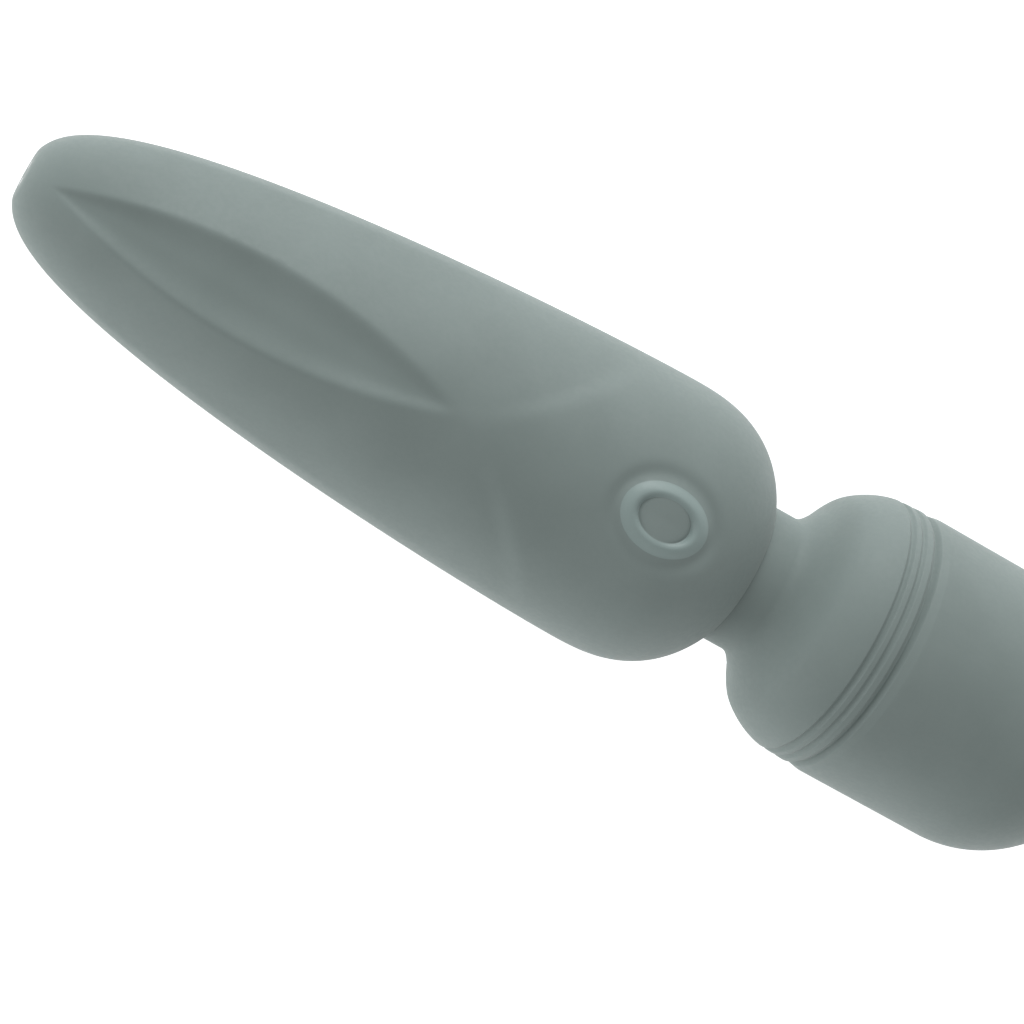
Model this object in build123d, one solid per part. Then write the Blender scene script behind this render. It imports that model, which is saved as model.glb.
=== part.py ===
"""Handheld wand massager: leaf-shaped handle, bending neck, silicone-covered vibrating head.

Units are millimetres. The origin is the centre of the charging face at the handle's tip. +X runs
from the tip to the head, +Z points out of the button side, and Y goes across the handle.
"""

import os
from math import cos, pi, sin

from build123d import *

os.makedirs("parts", exist_ok=True)

# Silicone outside, plastic housing inside
SKIN = 2.4  # silicone thickness
WALL = 1.6  # housing and pod wall
FIT = 0.05  # gap between pieces that sit inside each other
UNDER = 0.1  # gap under the silicone
RUN = 0.04  # radial running clearance of a pin
PRESS = 0.01  # radial gap of a pressed joint
PAST = 1.0  # how far a cutting tool reaches past what it cuts
OUTSIDE = 25.0  # further out than any surface of the part
LEAD_R = 0.5

# Handle
HANDLE_R = 20.75  # greatest half-width
WIDEST_X = 96.0  # where the handle is widest, and the button's centre
SHOULDER_L = 20.6  # from the widest place to where the rounded end would close
LEAF_POWER, LEAF_ROOT = 1.42, 2.95  # shape of the leaf outline towards the tip
TIP_FACE = 0.35  # cut off the outline's pointed end, which leaves the flat face at the tip
SHOULDER_POWER = 2.55
TROUGH_X0, TROUGH_X1 = 3.6, 63.7  # pointed ends of the leaf-shaped recess
TROUGH_HALF = 6.0
TROUGH_DEPTH = 1.5
LEAF_POINTS, SHOULDER_POINTS = 11, 8  # steps along the two curves of the outline

# Neck
NECK_R = 10.7
SLEEVE_WALL = 1.8
PITCH_X, YAW_X = 114.2, 119.8  # the two hinge axes, across Y and across Z
EAR_IN, EAR_OUT, EAR_R = 4.6, 6.8, 2.4
LINK_R = 4.3
PIN_R = 1.0
LEAD_HOLE_R = 1.7
COLLAR_X0, COLLAR_X1 = 104.5, 107.0  # the collar's flange, held in the housing
COLLAR_FLANGE_R = 12.4
SEAT_X = 109.6  # the spring's seat on the handle side
HEAD_SEAT_X = 122.0  # and on the head side
BOSS_R = 8.75
COLLAR_BORE_R = 5.2
EAR_GAP = 0.3  # between the link and the ears around it
LINK_END, LINK_ROUND = 2.6, 1.4  # the link past its axes, and its rounded ends
PIN_IN_EAR, PIN_L = 0.1, 4.7  # a stub pin's end below the ear's face, and its length
SPRING_WIRE_R, SPRING_R, SPRING_TURNS = 0.5, 8.05, 5.5
MOTOR_LEAD_R, MOTOR_LEAD_Y = 0.55, 0.7
MOTOR_LEAD_X0, MOTOR_LEAD_X1 = 102.6, 124.0  # the straight run through the neck
MOTOR_LEAD_BEND, MOTOR_LEAD_GAP, MOTOR_TAB_Y = 3.0, 0.4, 4.2
COLLAR_SCREW_Y, COLLAR_SCREW_X0 = 6.8, 122.4
COLLAR_SCREW_R, COLLAR_SCREW_HEAD_R, COLLAR_SCREW_HEAD_H = 0.58, 1.4, 1.2
COLLAR_SCREW_BORE_R, COLLAR_SCREW_HOLE_R = 0.6, 0.7

# Head
HEAD_R = 20.7
FLARE_X = 118.4  # where the neck starts to widen
FLARE_MIDDLE = [(121.9, 13.3), (124.8, 17.5)]
FLARE_ENDS = ((1, 0), (1, 0.1))  # its directions where it starts and ends
FLARE_SHARES = (0, 0.3, 0.5, 0.7, 1)  # where a form inside it is measured off
SHOULDER_X, SHOULDER_R = 131.0, 20.3
RIM_X = 137.8  # end of the ribbed band
DOME_X = 158.0
DOME_L = 20.0
HEAD_SKIN_X0 = 120.5
MOUTH_L, MOUTH_GAP = 0.5, 0.15  # the skin's opening round the head's collar
GROOVES_X = (131.3, 133.1, 135.4)
GROOVE_R, GROOVE_CENTRE_R = 0.5, 20.5
POD_SPLIT_X = 147.0
SPIGOT_BACK, SPIGOT_FRONT, SPIGOT_WALL = 3.0, 2.5, 0.8
POD_WALL_X0, POD_WALL_X1 = 124.6, 126.6

# Button and switch
BUTTON_A, BUTTON_B = 6.3, 4.6  # half-length and half-width of the moving pad
BUTTON_GAP = 0.3
BUTTON_WELL_Z = 10.0  # the button's opening is cut from here outwards
RING_OUT = (5.7, 4.35)
RING_IN = (4.2, 3.1)
DISC = (3.8, 2.75)
RING_FOOT_Z = 19.9
RING_ROUND, DISC_ROUND = 0.5, 0.3
PLATE_MARGIN = 0.4
PUSHER_R = 2.0  # the plate's stem above the switch
PAD_Z0 = 18.5  # underside of the silicone pad
PLATE_Z0 = 17.1  # underside of the plate beneath it
PAD_EDGE_Z = 20.35  # top of the pad outside its ring
PAD_TOP_Z = 20.7
RING_TOP_Z = 21.15
SWITCH_TOP_Z = 13.5
PLUNGER_TOP_Z = 14.6
SWITCH_HALF = 3.0
PLUNGER_R, PLUNGER_FOOT_Z = 1.75, 12.3
SWITCH_WELL_R, SWITCH_WELL_Z = 1.85, 11.4

# Circuit board and battery
BOARD_Z0, BOARD_Z1 = 8.4, 9.6
BOARD_X0, BOARD_X1 = 60.0, 102.0
BOARD_HALF, BOARD_CORNER_R = 10.0, 2.0
# x, y, length, width and height of the larger parts on the board
CHIPS = [(74, 4, 4, 4, 0.9), (81, -5, 5, 4, 1.5), (70, -5, 3, 3, 1.1), (86, 6, 3, 2, 0.8)]
SMALL_PARTS_X, SMALL_PARTS_Y = (67.5, 77.5, 84.5, 90.0), (-1.5, 1.5)
SMALL_L, SMALL_W, SMALL_H = 1.6, 0.8, 0.6
BATTERY_R, BATTERY_L = 7.0, 50.0
BATTERY_X0, BATTERY_Z = 36.0, -2.0
BATTERY_ROUND = 0.6
CAP_R, CAP_L = 2.6, 1.2  # the raised contact on the battery's end
PAD_X0, PAD_X1, PAD_HALF = 73.0, 86.0, 5.0  # the foam between battery and board
CRADLE_X, CRADLE_T = (44.0, 78.0), 1.4  # the two ribs that carry the battery
BATTERY_LEAD_OUT, BATTERY_LEAD_Y = 5.0, 2.0
BATTERY_LEAD_BEND = 1.6
LEAD_Z = 5.9  # the leads run between the battery and the board
LEAD_PAD_X = 62.0  # where the leads reach the board
# x, y and the boss's half-height or the post's top, each on both sides of the middle
SCREW_PLACES = [(27.0, 8.0, 7.0), (27.0, -8.0, 7.0), (91.0, 13.6, 9.0), (91.0, -13.6, 9.0)]
BOARD_POSTS = [(64.0, 7.5, 12.9), (64.0, -7.5, 12.9), (99.0, 7.5, 14.7), (99.0, -7.5, 14.7)]
SCREW_BOSS_R, SCREW_WELL_R, SCREW_HOLE_R = 2.2, 1.55, 0.75
SCREW_HEAD_Z, SCREW_END_Z, SCREW_HOLE_Z = -3.0, 3.9, 4.0
SCREW_R, SCREW_HEAD_R, SCREW_HEAD_H = 0.74, 1.5, 1.4
BOARD_POST_R, BOARD_POST_BORE_R, BOARD_POST_BORE_Z = 1.5, 0.6, 11.4
BOARD_HOLE_R = 0.9
BOARD_SCREW_R, BOARD_SCREW_HEAD_R, BOARD_SCREW_HEAD_H, BOARD_SCREW_Z = 0.59, 1.3, 1.0, 11.3

# Charging plug in the tip
PORT_R = 2.6
PORT_L = 6.0
CONTACT_R, CONTACT_Y = 0.65, 1.3
CONTACT_L = 7.0
PORT_MAGNET_X0, PORT_MAGNET_X1 = 7.4, 10.0
PORT_MAGNET_R, PORT_MAGNET_BORE_R = 3.0, 2.2
CHARGE_LEAD_BEND = 5.0
CHARGE_LEAD_X = (20.0, 32.0, 62.0, 70.0)  # where the leads start and end their two slopes

# Motor
MOTOR_R = 12.0
MOTOR_X0, CAN_X0, CAN_X1 = 128.6, 131.0, 156.0
CAN_WALL = 1.0
NOSE_R, NOSE_L = 3.6, 2.0  # the can's nose around the front bushing
BUSHING_R = 3.0
BUSHING_IN = 0.2  # a bushing's end below the face around it
BELL_R = 11.8
SHAFT_R = 1.15
SHAFT_X0, SHAFT_PAST, SHAFT_ROUND = 129.2, 1.2, 0.25
FIELD_X0, FIELD_X1, FIELD_BORE_R, FIELD_GAP = 134.5, 152.5, 8.7, 4.0  # the two magnets
BRUSH_X0, BRUSH_X1, BRUSH_Y0, BRUSH_Y1, BRUSH_HALF = 132.0, 134.0, 2.7, 6.5, 1.2
BRACKET_T, BRACKET_R, BRACKET_BORE_R = 1.6, 16.5, 3.7
MOTOR_SCREW_Y, MOTOR_SCREW_IN = 8.0, 0.9
MOTOR_SCREW_R, MOTOR_SCREW_HEAD_R, MOTOR_SCREW_HEAD_H = 0.88, 1.7, 1.2
MOTOR_TAP_R, MOTOR_HOLE_R = 0.9, 1.0
DAMPER_X0, DAMPER_X1, DAMPER_R = 139.0, 144.0, 16.6
ARMATURE_R = 8.2
ARMATURE_X0, ARMATURE_X1 = 137.5, 150.0
SLOT_HALF, SLOT_R, SLOT_Z, SLOT_MOUTH_Z = 0.9, 2.1, 4.9, 5.5
WINDING_X0, WINDING_X1, WINDING_R = 136.6, 150.9, 2.0
COMMUTATOR_X0, COMMUTATOR_X1, COMMUTATOR_R = 131.6, 135.0, 2.5
POLES = 3
WEIGHT_R, WEIGHT_HUB_R = 9.5, 3.2
WEIGHT_X0, WEIGHT_X1 = 160.6, 167.6

ALONG = Plane.YZ  # a sketch here extrudes along +X


def save(node, *solids):
    """Write one node: a single solid, or a group of separate solids."""
    shape = solids[0] if len(solids) == 1 else Compound(children=list(solids))
    export_step(shape, f"parts/{node}.step")


def rod(x0, x1, radius, y=0.0, z=0.0):
    """A cylinder along X."""
    return extrude(ALONG.offset(x0) * Pos(y, z) * Circle(radius), x1 - x0)


def tube(x0, x1, outer, inner):
    """A rod with a round hole along its axis."""
    return rod(x0, x1, outer) - rod(x0 - PAST, x1 + PAST, inner)


def block(x0, x1, y0, y1, z0, z1):
    """A box between the given faces."""
    centre = Pos((x0 + x1) / 2, (y0 + y1) / 2, (z0 + z1) / 2)
    return centre * Box(x1 - x0, y1 - y0, z1 - z0)


def post(x, y, z0, z1, radius):
    """A cylinder along Z."""
    return extrude(Plane.XY.offset(z0) * Pos(x, y) * Circle(radius), z1 - z0)


def pin_bore(x, radius):
    """A tool along Y, through the neck at a hinge axis."""
    return extrude(Plane.XZ.offset(-OUTSIDE) * Pos(x, 0) * Circle(radius), 2 * OUTSIDE)


def oval(a, b, z0, z1):
    """An oval block at the button's centre, along Z."""
    return extrude(Plane.XY.offset(z0) * Pos(WIDEST_X, 0) * Ellipse(a, b), z1 - z0)


def spun(outline):
    """The solid that an open outline makes when it is closed along the axis and spun about X."""
    first, last = outline @ 0, outline @ 1
    close = [Line(last, (first.X, 0))] + ([Line((first.X, 0), first)] if first.Y > 0 else [])
    return revolve(make_face([*outline.edges(), *close]), Axis.X)


def spun_shell(outer, inner, angle=360):
    """The shell between two such outlines, all round or from +Y over +Z to -Y."""
    ends = [Line(outer @ 0, inner @ 0), Line(outer @ 1, inner @ 1)]
    return revolve(make_face([*outer.edges(), *inner.edges(), *ends]), Axis.X, angle)


def wire_run(radius, bend, *points):
    """An insulated lead: straight runs joined by tangent arcs."""
    path = FilletPolyline(*points, radius=bend)
    return sweep(Plane(path @ 0, z_dir=path % 0) * Circle(radius), path)


# ---------------------------------------------------------------- handle


def handle_half_width(x, inset):
    """Half-width of the leaf outline, or of a surface the given depth inside it."""
    share = (x - inset + TIP_FACE) / (WIDEST_X - inset + TIP_FACE)
    rise = max(0.0, 1 - (1 - share) ** LEAF_POWER)
    return (HANDLE_R - inset) * rise ** (1 / LEAF_ROOT)


def shoulder_half_width(share, inset):
    """Half-width of the rounded end, from its start at share 0 to its close at share 1."""
    return (HANDLE_R - inset) * (1 - share**SHOULDER_POWER) ** 0.5


def handle_outline(inset):
    """Half outline of the handle, or of the form the given depth inside it."""
    length = WIDEST_X - inset
    angles = [pi / 2 * k / LEAF_POINTS for k in range(LEAF_POINTS + 1)]
    places = [inset + length * (1 - cos(angle)) for angle in angles]
    leaf = [(x, handle_half_width(x, inset)) for x in places]
    reach = SHOULDER_L - inset
    shares = [sin(pi / 2 * k / SHOULDER_POINTS) for k in range(SHOULDER_POINTS + 1)]
    end = [(WIDEST_X + reach * share, shoulder_half_width(share, inset)) for share in shares]
    face = Line((inset, 0), leaf[0])
    side = Spline(*leaf)
    shoulder = Spline(*end, tangents=((1, 0), (0, -1)))
    return Wire([face, side, shoulder])


def trough_tool():
    """The leaf-shaped recess: a lens outline over a floor that curves along the handle."""
    middle = (TROUGH_X0 + TROUGH_X1) / 2
    outline = [
        ThreePointArc((TROUGH_X0, 0), (middle, side), (TROUGH_X1, 0))
        for side in (TROUGH_HALF, -TROUGH_HALF)
    ]
    ends = [(x, handle_half_width(x, 0)) for x in (TROUGH_X0, TROUGH_X1)]
    depth = (middle, handle_half_width(middle, 0) - TROUGH_DEPTH)
    floor = ThreePointArc(ends[0], depth, ends[1])
    above = Polyline(ends[1], (TROUGH_X1, OUTSIDE), (TROUGH_X0, OUTSIDE), ends[0])
    side_view = Plane.XZ * make_face([floor, *above.edges()])
    return extrude(side_view, TROUGH_HALF + PAST, both=True) & extrude(make_face(outline), OUTSIDE)


def make_handle_skin():
    """The silicone over the handle, open at the tip, the button and the neck."""
    skin = spun_shell(handle_outline(0), handle_outline(SKIN))
    skin -= rod(COLLAR_X0, HEAD_SEAT_X, NECK_R + FIT)
    skin -= rod(-PAST, PORT_L, PORT_R + FIT)
    skin -= oval(BUTTON_A + BUTTON_GAP, BUTTON_B + BUTTON_GAP, BUTTON_WELL_Z, OUTSIDE)
    skin -= trough_tool()
    save("handle_skin", skin)


def collar_seat():
    """The grooved ring in the housing's end that holds the neck collar."""
    seat = rod(COLLAR_X0 - WALL, COLLAR_X1 + WALL, OUTSIDE) - rod(WIDEST_X, HEAD_SEAT_X, BOSS_R)
    seat -= rod(COLLAR_X0 - FIT, COLLAR_X1 + FIT, COLLAR_FLANGE_R + FIT)
    return seat - rod(COLLAR_X1, HEAD_SEAT_X, NECK_R + FIT)


def make_housing():
    """The two housing shells and the screws that join them."""
    wall_outside, wall_inside = SKIN + UNDER, SKIN + UNDER + WALL
    half = spun_shell(handle_outline(wall_outside), handle_outline(wall_inside), 180)
    half -= rod(COLLAR_X1, HEAD_SEAT_X, NECK_R + FIT)
    half -= rod(-PAST, 2 * PORT_L, PORT_R + FIT)
    middle_of_wall = spun(handle_outline(wall_outside + WALL / 2))
    upper_side = block(0, HEAD_SEAT_X, -OUTSIDE, OUTSIDE, 0, OUTSIDE)
    lower_side = block(0, HEAD_SEAT_X, -OUTSIDE, OUTSIDE, -OUTSIDE, 0)

    front = half - oval(BUTTON_A + BUTTON_GAP, BUTTON_B + BUTTON_GAP, BUTTON_WELL_Z, OUTSIDE)
    front += collar_seat() & middle_of_wall & upper_side
    for x, y, height in SCREW_PLACES:
        front += post(x, y, 0, height, SCREW_BOSS_R) - post(x, y, -PAST, SCREW_HOLE_Z, SCREW_HOLE_R)
    for x, y, top in BOARD_POSTS:
        pillar = post(x, y, BOARD_Z1, top, BOARD_POST_R)
        front += pillar - post(x, y, BOARD_Z0, BOARD_POST_BORE_Z, BOARD_POST_BORE_R)
    save("housing_front", front)

    back = mirror(half, Plane.XY)
    back += collar_seat() & middle_of_wall & lower_side
    for x, y, height in SCREW_PLACES:
        well = post(x, y, -OUTSIDE, SCREW_HEAD_Z, SCREW_WELL_R)
        boss = post(x, y, -height, 0, SCREW_BOSS_R) - well
        back -= well
        back += boss - post(x, y, -height - PAST, PAST, SCREW_HOLE_R)
    for x in CRADLE_X:
        rib = block(x, x + CRADLE_T, -OUTSIDE, OUTSIDE, -OUTSIDE, BATTERY_Z - 1) & middle_of_wall
        back += rib - rod(0, HEAD_SEAT_X, BATTERY_R + FIT, z=BATTERY_Z)
    save("housing_back", back)

    screws = [
        post(x, y, SCREW_HEAD_Z - SCREW_HEAD_H, SCREW_HEAD_Z, SCREW_HEAD_R)
        + post(x, y, SCREW_HEAD_Z, SCREW_END_Z, SCREW_R)
        for x, y, _ in SCREW_PLACES
    ]
    save("housing_screws", *screws)


def make_charging():
    """The contact plug in the tip, its two contacts, the magnet behind them and the two leads."""
    places = (CONTACT_Y, -CONTACT_Y)
    plug = rod(0, PORT_L, PORT_R)
    for y in places:
        plug -= rod(-PAST, PORT_L + PAST, CONTACT_R + FIT, y=y)
    save("charge_port", plug)
    pins = [rod(0, CONTACT_L, CONTACT_R, y=y) for y in places]
    save("charge_contacts", *pins)
    magnet = tube(PORT_MAGNET_X0, PORT_MAGNET_X1, PORT_MAGNET_R, PORT_MAGNET_BORE_R)
    save("charge_magnet", magnet)
    rise, level, fall, end = CHARGE_LEAD_X
    leads = [
        wire_run(
            LEAD_R,
            CHARGE_LEAD_BEND,
            (CONTACT_L, y, 0),
            (rise, y, 0),
            (level, y, LEAD_Z),
            (fall, y, LEAD_Z),
            (end, y, BOARD_Z0 - LEAD_R - UNDER),
        )
        for y in places
    ]
    save("charge_leads", *leads)


def make_battery():
    """The cell, the foam that holds it down and its two leads to the board."""
    battery_x1 = BATTERY_X0 + BATTERY_L
    cell = rod(BATTERY_X0, battery_x1, BATTERY_R, z=BATTERY_Z)
    cell = fillet(cell.edges(), BATTERY_ROUND)
    cell += rod(BATTERY_X0 - CAP_L, BATTERY_X0, CAP_R, z=BATTERY_Z)
    save("battery_cell", cell)
    pad = block(PAD_X0, PAD_X1, -PAD_HALF, PAD_HALF, BATTERY_Z + BATTERY_R, BOARD_Z0)
    pad -= rod(PAD_X0 - PAST, PAD_X1 + PAST, BATTERY_R + FIT, z=BATTERY_Z)
    save("battery_pad", pad)
    back = wire_run(
        LEAD_R,
        BATTERY_LEAD_BEND,
        (battery_x1, BATTERY_LEAD_Y, BATTERY_Z),
        (battery_x1 + BATTERY_LEAD_OUT, BATTERY_LEAD_Y, BATTERY_Z),
        (battery_x1 + BATTERY_LEAD_OUT, BATTERY_LEAD_Y, BOARD_Z0),
    )
    front = wire_run(
        LEAD_R,
        BATTERY_LEAD_BEND,
        (BATTERY_X0 - CAP_L, 0, BATTERY_Z),
        (BATTERY_X0 - BATTERY_LEAD_OUT, 0, BATTERY_Z),
        (BATTERY_X0 - BATTERY_LEAD_OUT, 0, LEAD_Z),
        (LEAD_PAD_X, 0, LEAD_Z),
        (LEAD_PAD_X, 0, BOARD_Z0),
    )
    save("battery_leads", back, front)


def make_board():
    """The circuit board, the parts on it and the screws that hold it."""
    board = block(BOARD_X0, BOARD_X1, -BOARD_HALF, BOARD_HALF, BOARD_Z0, BOARD_Z1)
    board = fillet(board.edges().filter_by(Axis.Z), BOARD_CORNER_R)
    for x, y, _ in BOARD_POSTS:
        board -= post(x, y, BOARD_Z0 - PAST, BOARD_Z1 + PAST, BOARD_HOLE_R)
    save("circuit_board", board)
    chips = [
        block(x - a / 2, x + a / 2, y - b / 2, y + b / 2, BOARD_Z1, BOARD_Z1 + height)
        for x, y, a, b, height in CHIPS
    ]
    small = [
        block(x, x + SMALL_L, y, y + SMALL_W, BOARD_Z1, BOARD_Z1 + SMALL_H)
        for x in SMALL_PARTS_X
        for y in SMALL_PARTS_Y
    ]
    save("board_components", *chips, *small)
    screws = [
        post(x, y, BOARD_Z0 - BOARD_SCREW_HEAD_H, BOARD_Z0, BOARD_SCREW_HEAD_R)
        + post(x, y, BOARD_Z0, BOARD_SCREW_Z, BOARD_SCREW_R)
        for x, y, _ in BOARD_POSTS
    ]
    save("board_screws", *screws)


def round_top(shape, radius):
    """The shape with the edges of its top face rounded."""
    return fillet(shape.faces().sort_by(Axis.Z)[-1].edges(), radius)


def make_button():
    """The silicone pad with its raised ring, the plastic plate under it, and the switch."""
    pad = round_top(oval(BUTTON_A, BUTTON_B, PAD_Z0, PAD_EDGE_Z), RING_ROUND)
    ring = oval(*RING_OUT, RING_FOOT_Z, RING_TOP_Z) - oval(*RING_IN, BUTTON_WELL_Z, OUTSIDE)
    disc = round_top(oval(*DISC, RING_FOOT_Z, PAD_TOP_Z), DISC_ROUND)
    save("button_cap", pad + round_top(ring, RING_ROUND) + disc)
    plate = oval(BUTTON_A - PLATE_MARGIN, BUTTON_B - PLATE_MARGIN, PLATE_Z0, PAD_Z0)
    plate += post(WIDEST_X, 0, PLUNGER_TOP_Z, PLATE_Z0, PUSHER_R)
    save("button_plate", plate)
    side = (WIDEST_X - SWITCH_HALF, WIDEST_X + SWITCH_HALF, -SWITCH_HALF, SWITCH_HALF)
    case = block(*side, BOARD_Z1, SWITCH_TOP_Z)
    case -= post(WIDEST_X, 0, SWITCH_WELL_Z, SWITCH_TOP_Z + PAST, SWITCH_WELL_R)
    save("switch_body", case)
    save("switch_plunger", post(WIDEST_X, 0, PLUNGER_FOOT_Z, PLUNGER_TOP_Z, PLUNGER_R))


# ---------------------------------------------------------------- neck


def ears(root_x, axis_x):
    """Two ears at +Y and -Y from a collar to a hinge axis, drilled for the pins."""
    arm = block(min(root_x, axis_x), max(root_x, axis_x), EAR_IN, EAR_OUT, -EAR_R, EAR_R)
    eye = extrude(Plane.XZ.offset(-EAR_OUT) * Pos(axis_x, 0) * Circle(EAR_R), EAR_OUT - EAR_IN)
    one = arm + eye - pin_bore(axis_x, PIN_R + RUN)
    return one, mirror(one, Plane.XZ)


def stub_pins(axis_x):
    """The two stub pins of a hinge, at +Y and -Y."""
    one = extrude(Plane.XZ.offset(PIN_IN_EAR - EAR_OUT) * Pos(axis_x, 0) * Circle(PIN_R), PIN_L)
    return one, mirror(one, Plane.XZ)


def make_neck():
    """The collar in the handle, the link with its four pins, and the collar on the head."""
    quarter = Rot(90, 0, 0)
    around_link = rod(COLLAR_X0 - PAST, POD_WALL_X1, LINK_R + EAR_GAP)
    collar = rod(COLLAR_X0, COLLAR_X1, COLLAR_FLANGE_R) + rod(COLLAR_X1, SEAT_X, BOSS_R - FIT)
    collar -= rod(COLLAR_X0 - PAST, SEAT_X + PAST, COLLAR_BORE_R)
    low, high = ears(COLLAR_X1, PITCH_X)
    save("neck_collar", collar + low + high - around_link)

    link = fillet(rod(PITCH_X - LINK_END, YAW_X + LINK_END, LINK_R).edges(), LINK_ROUND)
    link -= rod(PITCH_X - LINK_END - PAST, YAW_X + LINK_END + PAST, LEAD_HOLE_R)
    link -= pin_bore(PITCH_X, PIN_R + PRESS)
    save("neck_link", link - quarter * pin_bore(YAW_X, PIN_R + PRESS))
    save("pitch_pins", *stub_pins(PITCH_X))
    save("yaw_pins", *[quarter * pin for pin in stub_pins(YAW_X)])

    boss = rod(HEAD_SEAT_X, POD_WALL_X0, BOSS_R - FIT)
    boss -= rod(HEAD_SEAT_X - PAST, POD_WALL_X0 + PAST, COLLAR_BORE_R)
    low, high = ears(POD_WALL_X0, YAW_X)
    upper = boss + quarter * low + quarter * high - around_link
    screws = []
    for y in (COLLAR_SCREW_Y, -COLLAR_SCREW_Y):
        upper -= rod(HEAD_SEAT_X - PAST, POD_WALL_X0 + PAST, COLLAR_SCREW_BORE_R, y=y)
        screw = rod(POD_WALL_X1, POD_WALL_X1 + COLLAR_SCREW_HEAD_H, COLLAR_SCREW_HEAD_R, y=y)
        screws.append(screw + rod(COLLAR_SCREW_X0, POD_WALL_X1, COLLAR_SCREW_R, y=y))
    save("head_collar", upper)
    save("head_collar_screws", *screws)

    sleeve = tube(COLLAR_X1 + FIT, HEAD_SKIN_X0 - UNDER, NECK_R, NECK_R - SLEEVE_WALL)
    save("neck_sleeve", sleeve)

    coil_x0 = SEAT_X + SPRING_WIRE_R + FIT
    length = HEAD_SEAT_X - SEAT_X - 2 * (SPRING_WIRE_R + FIT)
    path = Helix(length / SPRING_TURNS, length, SPRING_R, center=(0, 0, 0), direction=(0, 0, 1))
    coil = sweep(Plane(path @ 0, z_dir=path % 0) * Circle(SPRING_WIRE_R), path)
    save("neck_spring", Pos(coil_x0, 0, 0) * Rot(0, 90, 0) * coil)

    leads = [
        wire_run(
            MOTOR_LEAD_R,
            MOTOR_LEAD_BEND,
            (MOTOR_LEAD_X0, MOTOR_LEAD_Y * side, 0),
            (MOTOR_LEAD_X1, MOTOR_LEAD_Y * side, 0),
            (MOTOR_X0 - MOTOR_LEAD_GAP, MOTOR_TAB_Y * side, 0),
        )
        for side in (1, -1)
    ]
    save("motor_leads", *leads)


# ---------------------------------------------------------------- head


def flare_edge(inset):
    """The widening from the neck to the head, moved inward by the given depth."""
    outer = Spline(
        (FLARE_X, NECK_R),
        *FLARE_MIDDLE,
        (SHOULDER_X, SHOULDER_R),
        tangents=FLARE_ENDS,
    )
    if not inset:
        return outer
    along = [(outer @ share, outer % share) for share in FLARE_SHARES]
    places = [(at.X + inset * way.Y, at.Y - inset * way.X) for at, way in along]
    return Spline(*places, tangents=FLARE_ENDS)


def head_outline(inset):
    """Half outline of the head with its flare, or of the form the given depth inside it."""
    flare = flare_edge(inset)
    shoulder = flare @ 1
    radius = HEAD_R - inset
    rim = Line(shoulder, (RIM_X, radius))
    side = Line((RIM_X, radius), (DOME_X, radius))
    dome = EllipticalCenterArc((DOME_X, 0), DOME_L - inset, radius, arc_size=90)
    return Wire([flare, rim, side, dome])


def make_head_skin():
    """The silicone over the head, with three grooves round its band."""
    skin = spun_shell(head_outline(0), head_outline(SKIN))
    skin &= rod(HEAD_SKIN_X0, DOME_X + DOME_L + PAST, OUTSIDE)
    skin -= rod(FLARE_X, HEAD_SEAT_X + MOUTH_L, BOSS_R + MOUTH_GAP)
    for x in GROOVES_X:
        skin -= Pos(x, 0, 0) * Rot(0, 90, 0) * Torus(GROOVE_CENTRE_R, GROOVE_R)
    save("head_skin", skin)


def make_pod():
    """The two pod shells around the motor, joined by a spigot."""
    inner_r = HEAD_R - SKIN - FIT - WALL
    form = spun(head_outline(SKIN + UNDER))
    hollow = spun(head_outline(SKIN + FIT + WALL))
    base = form & rod(HEAD_SEAT_X - UNDER, POD_SPLIT_X, OUTSIDE)
    base -= rod(FLARE_X, POD_WALL_X0, BOSS_R)
    base -= rod(FLARE_X, DOME_X, COLLAR_BORE_R)
    base -= hollow & rod(POD_WALL_X1, DOME_X, OUTSIDE)
    for y in (COLLAR_SCREW_Y, -COLLAR_SCREW_Y):
        base -= rod(POD_WALL_X0 - PAST, POD_WALL_X1 + PAST, COLLAR_SCREW_HOLE_R, y=y)
    base += tube(POD_SPLIT_X - SPIGOT_BACK, POD_SPLIT_X + SPIGOT_FRONT, inner_r, inner_r - SPIGOT_WALL)
    save("head_base", base)
    cap = form & rod(POD_SPLIT_X + FIT, DOME_X + DOME_L, OUTSIDE)
    cap -= hollow & rod(POD_SPLIT_X - PAST, DOME_X + DOME_L, OUTSIDE)
    cap -= rod(POD_SPLIT_X - PAST, POD_SPLIT_X + SPIGOT_BACK, inner_r + FIT)
    save("head_cap", cap)


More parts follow.
